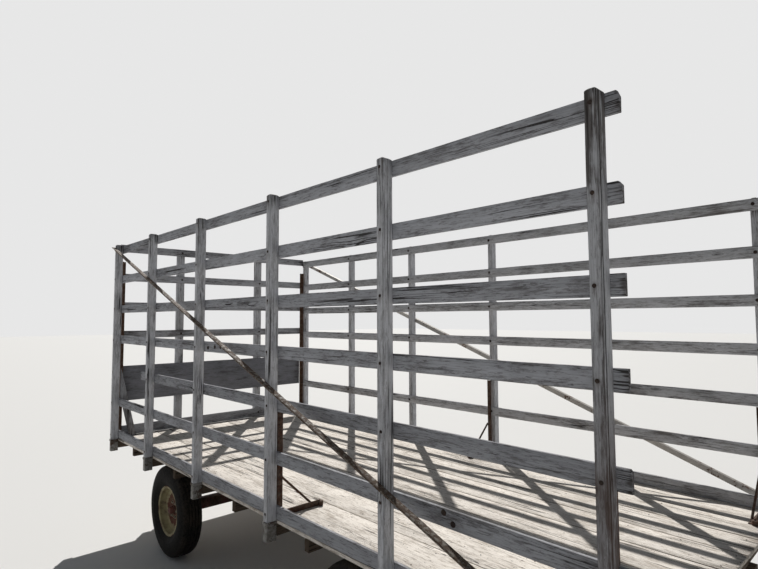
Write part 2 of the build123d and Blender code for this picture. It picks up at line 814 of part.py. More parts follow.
print("deck rear edge", rear_edge, "front reach", front_reach)
print("rear axle x", rear_axle_x, "front axle x", front_axle_x, "yoke pin x", yoke_pin_x)
print("tongue hinge x", tongue_hinge_x, "tongue drop", tongue_drop)
print("wheel middle", wheel_middle, "kingpin side", kingpin_side, "arm pin", arm_pin_x, "stud", stud_x)
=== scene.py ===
import bpy
import random
from math import ceil, cos, pi, radians, sin
from mathutils import Matrix, Vector


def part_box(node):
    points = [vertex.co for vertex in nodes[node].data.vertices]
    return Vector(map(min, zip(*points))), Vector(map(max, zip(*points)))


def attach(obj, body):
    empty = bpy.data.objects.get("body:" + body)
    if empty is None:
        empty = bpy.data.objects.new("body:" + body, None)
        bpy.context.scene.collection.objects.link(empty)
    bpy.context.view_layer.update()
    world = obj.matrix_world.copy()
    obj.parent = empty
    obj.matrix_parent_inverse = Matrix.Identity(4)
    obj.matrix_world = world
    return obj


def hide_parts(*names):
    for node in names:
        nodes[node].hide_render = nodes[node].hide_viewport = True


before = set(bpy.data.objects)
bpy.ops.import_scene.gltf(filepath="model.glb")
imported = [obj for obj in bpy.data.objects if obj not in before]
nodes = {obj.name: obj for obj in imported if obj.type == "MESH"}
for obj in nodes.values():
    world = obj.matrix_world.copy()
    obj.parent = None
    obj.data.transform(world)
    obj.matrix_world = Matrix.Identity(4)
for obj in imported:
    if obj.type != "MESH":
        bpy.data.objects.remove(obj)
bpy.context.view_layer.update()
sideNames = {"right": -1, "left": 1}
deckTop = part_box("deck_planks")[1].z

# short ways to write shader nodes, each added to the tree that its sockets belong to
def isSocket(value):
    return isinstance(value, bpy.types.NodeSocket)

# sets inputs by label or number, with a link or a value
def fill(node, inputs):
    for key, value in inputs.items():
        if isSocket(value):
            node.id_data.links.new(value, node.inputs[key])
        elif value is not None:
            node.inputs[key].default_value = value

def newNode(tree, kind, inputs=None, **settings):
    node = tree.nodes.new("ShaderNode" + kind)
    for label, value in settings.items():
        setattr(node, label, value)
    fill(node, inputs or {})
    return node

def addNode(kind, inputs, **settings):
    tree = next(value.id_data for value in inputs.values() if isSocket(value))
    return newNode(tree, kind, inputs, **settings)

def mathNode(operation, first, second=None):
    return addNode("Math", {0: first, 1: second}, operation=operation).outputs["Value"]

def plus(first, second):
    return mathNode("ADD", first, second)

def minus(first, second):
    return mathNode("SUBTRACT", first, second)

def times(first, second):
    return mathNode("MULTIPLY", first, second)

def larger(first, second):
    return mathNode("MAXIMUM", first, second)

def absolute(value):
    return mathNode("ABSOLUTE", value)

def vectorNode(operation, first, second=None):
    node = addNode("VectorMath", {0: first, 1: second}, operation=operation)
    return node.outputs["Value" if operation == "LENGTH" else "Vector"]

def split(vector):
    return tuple(addNode("SeparateXYZ", {0: vector}).outputs)

def noise(vector, stretch, detail, roughness):
    place = vectorNode("MULTIPLY", vector, stretch)
    inputs = {"Vector": place, "Scale": 1.0, "Detail": detail, "Roughness": roughness}
    return addNode("TexNoise", inputs).outputs["Fac"]

# zero at low and one at high, which may stand in either order
def rise(value, low, high, kind="SMOOTHSTEP"):
    inputs = {"Value": value, "From Min": low, "From Max": high}
    return addNode("MapRange", inputs, interpolation_type=kind).outputs["Result"]

def blend(factor, first, second, mode="MIX"):
    inputs = {0: factor, 6: first, 7: second}
    return addNode("Mix", inputs, data_type="RGBA", blend_type=mode).outputs[2]

# a ramp that rises to one at each place along an axis
def markPlaces(value, places, before, after):
    margin = 0.01
    low = min(places) - before - margin
    high = max(places) + after + margin
    ramp = addNode("ValToRGB", {"Fac": rise(value, low, high, "LINEAR")})
    ramp.color_ramp.interpolation = "LINEAR"
    stops = []
    for place in sorted(places):
        stops += [(place - before, 0.0), (place, 1.0), (place + after, 0.0)]
    elements = ramp.color_ramp.elements
    while len(elements) < len(stops):
        elements.new(0.5)
    for element, (place, shade) in zip(elements, stops):
        element.position = (place - low) / (high - low)
        element.color = (shade, shade, shade, 1)
    return ramp.outputs["Color"]

# camera on the wagon's right near its front
cameraPlace = {
    "place": (2.9411, -3.0754, 2.1546), "yaw": 2.3953, "pitch": 0.0646, "roll": -0.0037, "lens": 25.10,
}

def addCamera(values):
    yaw, pitch, roll = values["yaw"], values["pitch"], values["roll"]
    ahead = Vector((cos(yaw) * cos(pitch), sin(yaw) * cos(pitch), sin(pitch)))
    right = ahead.cross(Vector((0, 0, 1))).normalized()
    up = right.cross(ahead)
    turnedRight = right * cos(roll) + up * sin(roll)
    turnedUp = up * cos(roll) - right * sin(roll)
    data = bpy.data.cameras.new("photoCamera")
    data.lens = values["lens"]
    data.sensor_width = 36
    data.clip_end = 200
    camera = bpy.data.objects.new("photoCamera", data)
    bpy.context.collection.objects.link(camera)
    turn = Matrix((turnedRight, turnedUp, -ahead)).transposed().to_4x4()
    camera.matrix_world = Matrix.Translation(values["place"]) @ turn
    bpy.context.scene.camera = camera

addCamera(cameraPlace)
print("camera placed")

# pale studio, with the sun behind the wagon's left
studio = {
    "floorSize": 160, "floorColor": (0.74, 0.74, 0.73, 1), "floorRoughness": 0.9,
    "skyColor": (0.84, 0.91, 1.0, 1), "skyLight": 0.12, "skySeen": 0.80, "sunFrom": 140,
    "sunHeight": 41.6, "sunWidth": 0.6, "sunPower": 4.15, "sunColor": (1.0, 0.975, 0.94), "sunAway": 12,
}

def addSun(values):
    data = bpy.data.lights.new("sun", "SUN")
    data.energy = values["sunPower"]
    data.angle = radians(values["sunWidth"])
    data.color = values["sunColor"]
    sun = bpy.data.objects.new("sun", data)
    bpy.context.collection.objects.link(sun)
    around, up = radians(values["sunFrom"]), radians(values["sunHeight"])
    place = Vector((cos(around) * cos(up), sin(around) * cos(up), sin(up)))
    sun.location = place * values["sunAway"]
    sun.rotation_euler = (-place).to_track_quat("-Z", "Y").to_euler()

def addFloor(values):
    bpy.ops.object.select_all(action="DESELECT")
    bpy.ops.mesh.primitive_plane_add(size=values["floorSize"], location=(0, 0, 0))
    floor = bpy.context.object
    floor.name = "studioFloor"
    paint = bpy.data.materials.new("studioFloorPaint")
    paint.use_nodes = True
    finish = {"Base Color": values["floorColor"], "Roughness": values["floorRoughness"]}
    fill(paint.node_tree.nodes["Principled BSDF"], finish)
    floor.data.materials.append(paint)

# the sky lights the wagon and is seen as a pale backdrop
def addSky(values):
    world = bpy.data.worlds.new("studioSky")
    bpy.context.scene.world = world
    world.use_nodes = True
    tree = world.node_tree
    light = tree.nodes["Background"]
    fill(light, {"Color": values["skyColor"], "Strength": values["skyLight"]})
    seen = newNode(tree, "Background", {"Color": (1, 1, 1, 1), "Strength": values["skySeen"]})
    rays = newNode(tree, "LightPath").outputs
    mirrored = larger(rays["Is Glossy Ray"], rays["Is Transmission Ray"])
    shows = larger(rays["Is Camera Ray"], mirrored)
    mix = newNode(tree, "MixShader", {"Fac": shows, 1: light.outputs[0], 2: seen.outputs[0]})
    fill(tree.nodes["World Output"], {"Surface": mix.outputs["Shader"]})

addFloor(studio)
addSky(studio)
addSun(studio)
bpy.context.scene.view_settings.view_transform = "Standard"
print("studio built")

# a vector input has no value, a float has a number and a colour has four
def socketKind(value):
    if value is None:
        return "NodeSocketVector"
    return "NodeSocketColor" if isinstance(value, tuple) else "NodeSocketFloat"

def startGroup(name, inputs):
    group = bpy.data.node_groups.new(name, "ShaderNodeTree")
    for label, value in inputs.items():
        socket = group.interface.new_socket(name=label, in_out="INPUT", socket_type=socketKind(value))
        if value is not None:
            socket.default_value = value
    for label, kind in {"Color": "Color", "Roughness": "Float", "Height": "Float"}.items():
        group.interface.new_socket(name=label, in_out="OUTPUT", socket_type="NodeSocket" + kind)
    return group, group.nodes.new("NodeGroupInput").outputs, group.nodes.new("NodeGroupOutput")

# weathered wood: how each pattern is stretched along the grain and across it
woodLook = {
    "knots": (2.4, 9.0, 9.0), "waver": (1.6, 5, 5), "broad": (0.9, 30, 30), "middle": (2.6, 95, 95),
    "fine": (6.0, 330, 330), "blotch": (3.4, 8.0, 8.0), "flakes": (9.0, 60, 60),
    "flecks": (14, 105, 105), "scars": (16, 130, 130), "checks": (0.55, 46, 46),
    "checkGroups": (1.9, 15, 15), "endChecks": (0.7, 62, 62),
}
# how far knots and grain push, how wide checks are and how strong dirt is
woodWear = {"knotPush": 0.009, "waver": 0.012, "checkWidth": 0.030, "checkEdge": 0.006, "endCheckReach": 0.14,
            "endDirtReach": 0.06, "endDirt": 0.35, "checkColor": (0.022, 0.019, 0.017, 1)}
# what keeps the paint on, and what takes it off near ends and edges
paintHold = {"broad": 0.30, "blotch": 0.34, "flakes": 0.18, "streak": 0.34, "tone": 0.14,
             "endReach": 0.16, "end": 0.03, "wornEnd": 0.10, "edgeReach": 0.010, "edge": 0.03}

# knots push the grain aside, and all of it wavers
def bendGrain(place):
    cells = {"Scale": 1.0, "Vector": vectorNode("MULTIPLY", place, woodLook["knots"])}
    fromKnot = addNode("TexVoronoi", cells).outputs["Distance"]
    sideways = times(rise(fromKnot, 0.40, 0.05), woodWear["knotPush"])
    along = times(noise(place, woodLook["waver"], 2, 0.5), woodWear["waver"])
    shift = addNode("CombineXYZ", {0: along, 1: sideways, 2: sideways})
    return vectorNode("ADD", place, shift.outputs[0]), fromKnot

# thin checks that run with the grain and come in groups, and more of them at the ends
def splitGrain(place, bent, nearEnd, amount):
    line = absolute(minus(noise(bent, woodLook["checks"], 1, 0.4), 0.5))
    where = rise(noise(place, woodLook["checkGroups"], 2, 0.5), 0.50, 0.63)
    width = times(amount, woodWear["checkWidth"])
    check = times(rise(minus(width, line), 0.0, woodWear["checkEdge"]), where)
    line = absolute(minus(noise(bent, woodLook["endChecks"], 1, 0.4), 0.5))
    width = times(times(rise(nearEnd, woodWear["endCheckReach"], 0.0), amount), woodWear["checkWidth"])
    return larger(check, rise(minus(width, line), 0.0, woodWear["checkEdge"]))

def makeWoodGroup():
    tree, got, give = startGroup("weatheredWood", {
        "Place": None, "Tone": None, "Span": None, "Side": 0.02, "End Reach": 0.16, "Stain": 0.0,
        "Paint": 0.5, "Checks": 0.5, "Flecks": 0.6, "Scars": 0.9, "Crack": 0.0, "Grime": 0.5,
        "Paint Color": (0.5, 0.5, 0.5, 1), "Bare Color": (0.3, 0.28, 0.25, 1),
        "Dark Color": (0.08, 0.07, 0.06, 1), "Stain Color": (0.060, 0.032, 0.020, 1),
    })
    paint, bare, dark = got["Paint Color"], got["Bare Color"], got["Dark Color"]
    place = vectorNode("ADD", got["Place"], vectorNode("MULTIPLY", got["Tone"], (31.0, 17.0, 23.0)))
    toneX, toneY = split(got["Tone"])[:2]
    fromStart, fromEnd = split(got["Span"])[:2]
    nearEnd = mathNode("MINIMUM", fromStart, fromEnd)

    bent, fromKnot = bendGrain(place)
    knot = rise(fromKnot, 0.075, 0.045)
    knotRing = rise(absolute(minus(fromKnot, 0.085)), 0.022, 0.0)
    check = larger(splitGrain(place, bent, nearEnd, got["Checks"]), got["Crack"])
    broad = noise(bent, woodLook["broad"], 4, 0.62)
    middle = noise(bent, woodLook["middle"], 4, 0.62)
    fine = noise(bent, woodLook["fine"], 3, 0.6)
    blotch = noise(place, woodLook["blotch"], 4, 0.62)
    flakes = noise(bent, woodLook["flakes"], 6, 0.75)
    flecks = noise(bent, woodLook["flecks"], 5, 0.78)
    scars = noise(bent, woodLook["scars"], 4, 0.72)
    streak = plus(times(middle, 0.6), times(fine, 0.4))
    grain = rise(streak, 0.34, 0.66)

    bareWood = blend(grain, blend(0.55, dark, bare), bare)
    bareWood = blend(times(rise(flecks, 0.42, 0.36), 0.7), bareWood, dark)
    bareWood = blend(rise(broad, 0.46, 0.30), bareWood, blend(0.35, dark, bare))

    # paint stays in sheltered spots and goes from grain ridges, ends and edges
    keep = times(broad, paintHold["broad"])
    holds = {"blotch": blotch, "flakes": flakes, "streak": streak, "tone": minus(toneY, 0.5)}
    for label, value in holds.items():
        keep = plus(keep, times(value, paintHold[label]))
    keep = minus(keep, times(rise(nearEnd, paintHold["endReach"], 0.0), paintHold["end"]))
    keep = minus(keep, times(rise(fromEnd, got["End Reach"], 0.0), paintHold["wornEnd"]))
    keep = minus(keep, times(rise(got["Side"], paintHold["edgeReach"], 0.0), paintHold["edge"]))
    limit = minus(0.80, times(got["Paint"], 0.44))
    painted = rise(minus(keep, limit), -0.05, 0.05)
    tired = rise(plus(times(blotch, 0.5), times(broad, 0.5)), 0.56, 0.42)
    bar = plus(0.435, times(tired, 0.055))
    gone = times(rise(minus(flecks, bar), 0.018, -0.018), got["Flecks"])
    painted = times(painted, minus(1.0, gone))
    worn = blend(0.30, paint, dark)
    chalk = blend(rise(fine, 0.30, 0.62), worn, paint)
    chalk = blend(times(rise(blotch, 0.55, 0.30), 0.5), chalk, worn)
    color = blend(times(painted, 0.94), bareWood, chalk)

    # scars, knots and checks lie over the paint, and dirt gathers at ends and edges
    scars = times(rise(scars, 0.41, 0.35), plus(0.35, times(tired, 0.6)))
    color = blend(times(scars, got["Scars"]), color, dark)
    color = blend(knot, color, blend(times(painted, 0.5), dark, worn))
    color = blend(times(knotRing, 0.45), color, dark)
    color = blend(times(check, 0.9), color, woodWear["checkColor"])
    ends = rise(nearEnd, 0.0012, 0.0004)
    color = blend(times(ends, 0.85), color, blend(fine, dark, bare))
    dirtyEnd = times(rise(nearEnd, woodWear["endDirtReach"], 0.0), rise(blotch, 0.35, 0.6))
    color = blend(times(dirtyEnd, woodWear["endDirt"]), color, dark)
    dirtySide = times(rise(got["Side"], 0.0050, 0.0008), rise(middle, 0.36, 0.56))
    color = blend(times(dirtySide, got["Grime"]), color, dark)
    level = plus(0.84, times(toneX, 0.24))
    level = times(level, plus(0.82, times(blotch, 0.36)))
    levels = addNode("CombineXYZ", {0: level, 1: level, 2: level})
    color = blend(1.0, color, levels.outputs[0], "MULTIPLY")
    height = plus(times(grain, 0.5), times(fine, 0.5))
    height = plus(height, times(painted, 0.5))
    height = minus(height, times(check, 2.2))
    fill(give, {
        "Color": blend(got["Stain"], color, got["Stain Color"]),
        "Roughness": minus(0.93, times(painted, 0.13)),
        "Height": plus(height, times(knot, 0.5)),
    })
    return tree

# rust on steel: dark skin, orange bloom and pale worn spots over a little paint
rustLook = {"large": (9, 9, 9), "small": (70, 70, 70), "grit": (420, 420, 420), "dust": (15, 15, 26),
            "pitColor": (0.03, 0.015, 0.012, 1)}

def makeRustGroup():
    tree, got, give = startGroup("rustSkin", {
        "Place": None, "Paint": 0.3, "Dust": 0.25, "Paint Color": (0.2, 0.05, 0.03, 1),
        "Rust Color": (0.085, 0.036, 0.022, 1), "Bloom Color": (0.26, 0.105, 0.04, 1),
        "Dust Color": (0.30, 0.26, 0.21, 1),
    })
    place, paint, dust = got["Place"], got["Paint Color"], got["Dust Color"]
    large = noise(place, rustLook["large"], 5, 0.62)
    small = noise(place, rustLook["small"], 5, 0.7)
    grit = noise(place, rustLook["grit"], 3, 0.7)
    rust = blend(rise(small, 0.42, 0.66), got["Rust Color"], got["Bloom Color"])
    rust = blend(times(rise(grit, 0.55, 0.75), 0.5), rust, rustLook["pitColor"])
    cover = plus(times(large, 0.65), times(small, 0.35))
    limit = minus(0.72, times(got["Paint"], 0.44))
    painted = rise(minus(cover, limit), -0.012, 0.012)
    faded = blend(rise(large, 0.35, 0.7), blend(0.25, paint, dust), paint)
    dusty = times(rise(noise(place, rustLook["dust"], 5, 0.65), 0.40, 0.68), got["Dust"])
    rough = minus(0.88, times(painted, 0.26))
    height = plus(times(small, 0.6), times(grit, 0.4))
    fill(give, {
        "Color": blend(dusty, blend(painted, rust, faded), dust),
        "Roughness": plus(rough, times(dusty, 0.2)),
        "Height": plus(height, times(painted, 0.8)),
    })
    return tree

# rubber: dull black, brown dust in the grooves and low on the walls, fine cracks
rubberLook = {"large": (7, 7, 7), "small": (60, 60, 60), "grit": (500, 500, 500), "tread": (0.360, 0.392),
              "wallDust": 0.05, "treadDust": 0.14, "paleColor": (0.017, 0.017, 0.017, 1)}

def makeRubberGroup():
    tree, got, give = startGroup("oldRubber", {
        "Place": None, "Radius": 0.4, "Rubber Color": (0.008, 0.008, 0.008, 1),
        "Dust Color": (0.16, 0.125, 0.09, 1),
    })
    large = noise(got["Place"], rubberLook["large"], 4, 0.6)
    small = noise(got["Place"], rubberLook["small"], 5, 0.7)
    grit = noise(got["Place"], rubberLook["grit"], 2, 0.6)
    tread = rise(got["Radius"], *rubberLook["tread"])
    amount = plus(rubberLook["wallDust"], times(tread, rubberLook["treadDust"]))
    dust = times(rise(plus(times(large, 0.5), times(small, 0.5)), 0.36, 0.66), amount)
    color = blend(rise(small, 0.3, 0.7), got["Rubber Color"], rubberLook["paleColor"])
    crack = rise(absolute(minus(small, 0.5)), 0.0, 0.02)
    fill(give, {
        "Color": blend(dust, color, got["Dust Color"]),
        "Roughness": plus(0.78, times(dust, 0.4)),
        "Height": plus(times(grit, 0.5), times(crack, 0.4)),
    })
    return tree

woodGroup = makeWoodGroup()
rustGroup = makeRustGroup()
rubberGroup = makeRubberGroup()
bumpStrength = 0.8

def startMaterial(name, finish):
    material = bpy.data.materials.new(name)
    material.use_nodes = True
    tree = material.node_tree
    bump = newNode(tree, "Bump", {"Distance": finish["bumpDepth"], "Strength": bumpStrength})
    shader = tree.nodes["Principled BSDF"]
    fill(shader, {"Specular IOR Level": finish["shine"], "Normal": bump.outputs["Normal"]})
    return material, tree, shader, bump

def useGroup(tree, group, shader, bump, values):
    got = newNode(tree, "Group", values, node_tree=group).outputs
    fill(shader, {"Base Color": got["Color"], "Roughness": got["Roughness"]})
    fill(bump, {"Height": got["Height"]})

def readField(tree, name):
    return newNode(tree, "Attribute", attribute_name=name).outputs["Vector"]

def objectPlace(tree):
    return newNode(tree, "TexCoord").outputs["Object"]

# weathered gray paint for the right and rear rack boards and the corner strut, with a painted blue cast of
# sky shade in its colour
rackWood = {
    "Paint": 0.64, "End Reach": 0.03, "Checks": 0.9, "Scars": 0.8,
    "Paint Color": (0.465, 0.475, 0.51, 1), "Bare Color": (0.21, 0.20, 0.20, 1),
    "Dark Color": (0.055, 0.049, 0.048, 1),
}
# the left boards use a lighter copy of the rack wood with fewer dark scars: painted light standing in for the
# sunlit deck's bounce on their inner faces, also with the painted blue cast of sky shade
leftRackWoodPaintedLight = dict(rackWood, Paint=0.76, Scars=0.5)
leftRackWoodPaintedLight["Paint Color"] = (0.66, 0.67, 0.70, 1)
leftRackWoodPaintedLight["Bare Color"] = (0.30, 0.285, 0.275, 1)
# weathered pale paint for the posts, with a painted blue cast of sky shade in its colour
postWood = {
    "Paint": 0.86, "End Reach": 0.5, "Checks": 1.0, "Flecks": 0.4, "Scars": 0.6,
    "Paint Color": (0.68, 0.69, 0.725, 1), "Bare Color": (0.22, 0.205, 0.20, 1),
    "Dark Color": (0.050, 0.043, 0.040, 1),
}
deckWood = {
    "Paint": 0.82, "Grime": 0.95, "Checks": 0.9, "Flecks": 0.7, "Scars": 0.7,
    "Paint Color": (0.87, 0.82, 0.755, 1), "Bare Color": (0.60, 0.53, 0.45, 1),
    "Dark Color": (0.17, 0.135, 0.105, 1), "Stain Color": (0.045, 0.032, 0.022, 1),
}
sillWood = {
    "Paint": 0.12, "Checks": 0.8, "Paint Color": (0.30, 0.28, 0.25, 1),
    "Bare Color": (0.15, 0.115, 0.085, 1), "Dark Color": (0.04, 0.03, 0.022, 1),
}
# dark gray paint for the rear panel, with a painted blue cast of sky shade in its colour
panelWood = {
    "Paint": 0.66, "Flecks": 0.45, "Checks": 0.15, "Scars": 0.5, "Paint Color": (0.235, 0.24, 0.265, 1),
    "Bare Color": (0.15, 0.15, 0.16, 1), "Dark Color": (0.04, 0.038, 0.040, 1),
}
woodFinish = {"bumpDepth": 0.0014, "shine": 0.12}
# what a board knows at each point: its grain's place, its tone, its ends and its half sizes
boardFields = ("boardPlace", "boardTone", "boardSpan", "boardSize")

# rust that runs from the bolts: its width, how ragged it is and how strong
boltStain = {"width": (0.017, 0.003), "ragged": (22, 90, 90), "strength": 0.75}
# the nearest post, known by its tone, has a crack and a dark smear at its foot
nearPost = {"tone": 0.37, "crack": -0.026, "crackWidth": 0.0052, "wander": 0.016, "smearHeight": (1.35, 0.70),
            "smear": (4, 34, 34), "smearLeast": 0.30, "smearMore": 0.55}
# bits of straw on the deck, thicker where they lie in heaps
strawBits = {"bits": (42, 52, 10), "heaps": (1.1, 1.9, 1), "limit": 0.705, "heapShare": 0.05}

def stainByBolts(tree, place, offMiddle, axis, places, reach):
    marks = markPlaces(split(objectPlace(tree))[axis], places, *reach)
    narrow = rise(offMiddle, *boltStain["width"])
    ragged = rise(noise(place, boltStain["ragged"], 4, 0.65), 0.30, 0.62)
    return times(times(times(marks, narrow), ragged), boltStain["strength"])

def crackAndSmear(place, tone, span, through):
    here = rise(absolute(minus(split(tone)[2], nearPost["tone"])), 0.004, 0.002)
    wander = times(noise(place, (2.2, 0, 0), 4, 0.6), nearPost["wander"])
    line = absolute(minus(through, plus(wander, nearPost["crack"])))
    crack = times(rise(line, nearPost["crackWidth"], nearPost["crackWidth"] * 0.4), here)
    low = times(here, rise(split(span)[0], *nearPost["smearHeight"]))
    smear = rise(noise(place, nearPost["smear"], 5, 0.7), 0.34, 0.62)
    return crack, times(low, plus(nearPost["smearLeast"], times(smear, nearPost["smearMore"])))

def strawOnDeck(tree):
    bits = noise(objectPlace(tree), strawBits["bits"], 3, 0.6)
    heaps = rise(noise(objectPlace(tree), strawBits["heaps"], 2, 0.5), 0.5, 0.75)
    bar = minus(strawBits["limit"], times(heaps, strawBits["heapShare"]))
    return rise(minus(bits, bar), 0.0, 0.012)

def woodMaterial(name, values, stainAxis=None, stainPlaces=(), reach=None, cracked=False, straw=False):
    material, tree, shader, bump = startMaterial(name, woodFinish)
    place, tone, span, size = [readField(tree, field) for field in boardFields]
    through, half, halfThrough = split(size)
    offMiddle = absolute(split(span)[2])
    side = larger(minus(half, offMiddle), minus(halfThrough, absolute(through)))
    settings = dict(values, Place=place, Tone=tone, Span=span, Side=side)
    if stainPlaces:
        settings["Stain"] = stainByBolts(tree, place, offMiddle, stainAxis, stainPlaces, reach)
    if cracked:
        settings["Crack"], smear = crackAndSmear(place, tone, span, through)
        settings["Stain"] = larger(settings["Stain"], smear)
    if straw:
        settings["Stain"] = strawOnDeck(tree)
    useGroup(tree, woodGroup, shader, bump, settings)
    return material

steelFinish = {"bumpDepth": 0.0006, "shine": 0.3}

def rustMaterial(name, values, fineness=1.0):
    material, tree, shader, bump = startMaterial(name, steelFinish)
    place = vectorNode("MULTIPLY", objectPlace(tree), (fineness, fineness, fineness))
    useGroup(tree, rustGroup, shader, bump, dict(values, Place=place))
    return material

def wheelRadius(place, centre):
    fromCentre = vectorNode("SUBTRACT", place, centre)
    return vectorNode("LENGTH", vectorNode("MULTIPLY", fromCentre, (1, 0, 1)))

rubberFinish = {"bumpDepth": 0.0008, "shine": 0.08}

def tyreMaterial(name, centre):
    material, tree, shader, bump = startMaterial(name, rubberFinish)
    place = objectPlace(tree)
    useGroup(tree, rubberGroup, shader, bump, {"Place": place, "Radius": wheelRadius(place, centre)})
    return material

# a rim keeps its paint best between the lugs and the well
rimWear = {"least": 0.26, "disc": (0.118, 0.158), "discPaint": 0.50, "lip": (0.205, 0.221), "lipLoss": 0.22}

def rimMaterial(name, centre, values):
    material, tree, shader, bump = startMaterial(name, steelFinish)
    place = objectPlace(tree)
    radius = wheelRadius(place, centre)
    inner = times(rise(radius, *rimWear["disc"]), rimWear["discPaint"])
    outer = times(rise(radius, *rimWear["lip"]), rimWear["lipLoss"])
    paint = minus(plus(rimWear["least"], inner), outer)
    useGroup(tree, rustGroup, shader, bump, dict(values, Place=place, Paint=paint))
    return material

print("materials ready")

# selection and edit mode helpers
def selectNone():
    if bpy.context.object and bpy.context.object.mode != "OBJECT":
        bpy.ops.object.mode_set(mode="OBJECT")
    bpy.ops.object.select_all(action="DESELECT")

def pick(*pieces):
    selectNone()
    for piece in pieces:
        piece.select_set(True)
    bpy.context.view_layer.objects.active = pieces[0]

def startEdit():
    bpy.ops.object.mode_set(mode="EDIT")
    bpy.ops.mesh.select_all(action="SELECT")

def endEdit():
    bpy.ops.object.mode_set(mode="OBJECT")

def settle(piece):
    pick(piece)
    bpy.ops.object.transform_apply(location=True, rotation=True, scale=True)
    return piece

def addBlock(name, low, high):
    selectNone()
    low, high = Vector(low), Vector(high)
    bpy.ops.mesh.primitive_cube_add(size=1, location=(low + high) / 2, scale=high - low)
    block = settle(bpy.context.object)
    block.name = name
    return block

# an upright bar that stands on the given level
def addBar(sides, radius, height, base=0.0):
    selectNone()
    bpy.ops.mesh.primitive_cylinder_add(vertices=sides, radius=radius, depth=height,
                                        location=(0, 0, base + height / 2))
    return settle(bpy.context.object)

edgeAngles = {"bevel": 30, "smooth": 35}

def soften(piece, width, segments=2):
    bevel = piece.modifiers.new("softEdges", "BEVEL")
    bevel.width = width
    bevel.segments = segments
    bevel.limit_method = "ANGLE"
    bevel.angle_limit = radians(edgeAngles["bevel"])
    pick(piece)
    bpy.ops.object.modifier_apply(modifier="softEdges")
    bpy.ops.object.shade_smooth_by_angle(angle=radians(edgeAngles["smooth"]))

def join(name, pieces):
    pick(*pieces)
    if len(pieces) > 1:
        bpy.ops.object.join()
    joined = bpy.context.object
    joined.name = name
    joined.data.name = name
    return joined

def placedCopy(source, matrix, name=None):
    copy = source.copy()
    copy.data = source.data.copy()
    bpy.context.collection.objects.link(copy)
    copy.data.transform(matrix)
    if name:
        copy.name = name
        copy.data.name = name
    return copy

def discard(*pieces):
    selectNone()
    for piece in pieces:
        bpy.data.objects.remove(piece, do_unlink=True)

def finishPiece(piece, material, slotName, *replaced, body="wagon"):
    piece.data.materials.clear()
    piece.data.materials.append(material)
    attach(piece, body)
    if replaced:
        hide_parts(*replaced)

# a copy of a CAD node with its doubled points merged, left in edit mode
def mergedCopy(node, name):
    selectNone()
    copy = nodes[node].copy()
    copy.data = nodes[node].data.copy()
    copy.parent = None
    copy.name = name
    for key in list(copy.keys()):
        del copy[key]
    bpy.context.collection.objects.link(copy)
    pick(copy)
    startEdit()
    bpy.ops.mesh.remove_doubles(threshold=0.00001)
    return copy

# the boxes of a CAD node's solids
def solidBoxes(node):
    mergedCopy(node, f"{node}Solids")
    bpy.ops.mesh.separate(type="LOOSE")
    endEdit()
    parts = list(bpy.context.selected_objects)
    boxes = []
    for part in parts:
        places = list(zip(*[vertex.co for vertex in part.data.vertices]))
        boxes.append((Vector([min(line) for line in places]), Vector([max(line) for line in places])))
    discard(*parts)
    return sorted(boxes, key=lambda box: tuple(round(value, 4) for value in (*box[0], *box[1])))

# a CAD node's own form with its edges broken, for the steel pieces
def softCopy(node, name, width):
    copy = mergedCopy(node, name)
    bpy.ops.mesh.dissolve_limited(angle_limit=radians(1))
    endEdit()
    soften(copy, width)
    return copy

# wooden pieces: each is a block, cut across, nudged out of true, clipped and softened
boardShape = {"cutEvery": 0.22, "warp": 0.0011, "edge": 0.0022, "thin": 0.05}
tones = random.Random(41)

# a tone is its level, how well its paint holds and a mark of its own
def drawTone(values):
    return tones.uniform(*values["level"]), tones.uniform(*values["paint"]), tones.random()

def cutAcross(axis, low, high, every):
    count = max(1, ceil((high - low) / every))
    normal = [0, 0, 0]
    normal[axis] = 1
    bpy.ops.object.mode_set(mode="EDIT")
    for i in range(1, count):
        place = [0, 0, 0]
        place[axis] = low + (high - low) * i / count
        bpy.ops.mesh.select_all(action="SELECT")
        bpy.ops.mesh.bisect(plane_co=place, plane_no=normal)
    endEdit()

def clipCorner(piece, place, normal):
    pick(piece)
    startEdit()
    bpy.ops.mesh.bisect(plane_co=place, plane_no=normal, use_fill=True, clear_outer=True)
    endEdit()

def warpBoard(warp):
    startEdit()
    bpy.ops.transform.vertex_random(offset=warp, seed=tones.randint(1, 9999))
    endEdit()

# moves the points that the test picks
def moveWhere(piece, test, shift):
    startEdit()
    bpy.ops.mesh.select_all(action="DESELECT")
    endEdit()
    for vertex in piece.data.vertices:
        vertex.select = test(vertex.co)
    bpy.ops.object.mode_set(mode="EDIT")
    bpy.ops.transform.translate(value=shift)
    endEdit()

# each board keeps its own grain place, tone and distance from its ends
def markBoard(piece, axis, low, high, across=None, tone=None):
    mesh = piece.data
    others = [i for i in (2, 1, 0) if i != axis]
    if across is None:
        across = max(others, key=lambda i: high[i] - low[i])
    through = [i for i in others if i != across][0]
    middle = (low + high) / 2
    half = (high - low) / 2
    drawn = [tones.random() for i in range(3)]
    for field in boardFields:
        mesh.attributes.new(field, "FLOAT_VECTOR", "POINT")
    fields = [mesh.attributes[field].data for field in boardFields]
    for i, vertex in enumerate(mesh.vertices):
        co = vertex.co
        values = [(co[axis], co[across], co[through]),
                  tone or drawn,
                  (co[axis] - low[axis], high[axis] - co[axis], co[across] - middle[across]),
                  (co[through] - middle[through], half[across], half[through])]
        for field, value in zip(fields, values):
            field[i].vector = value

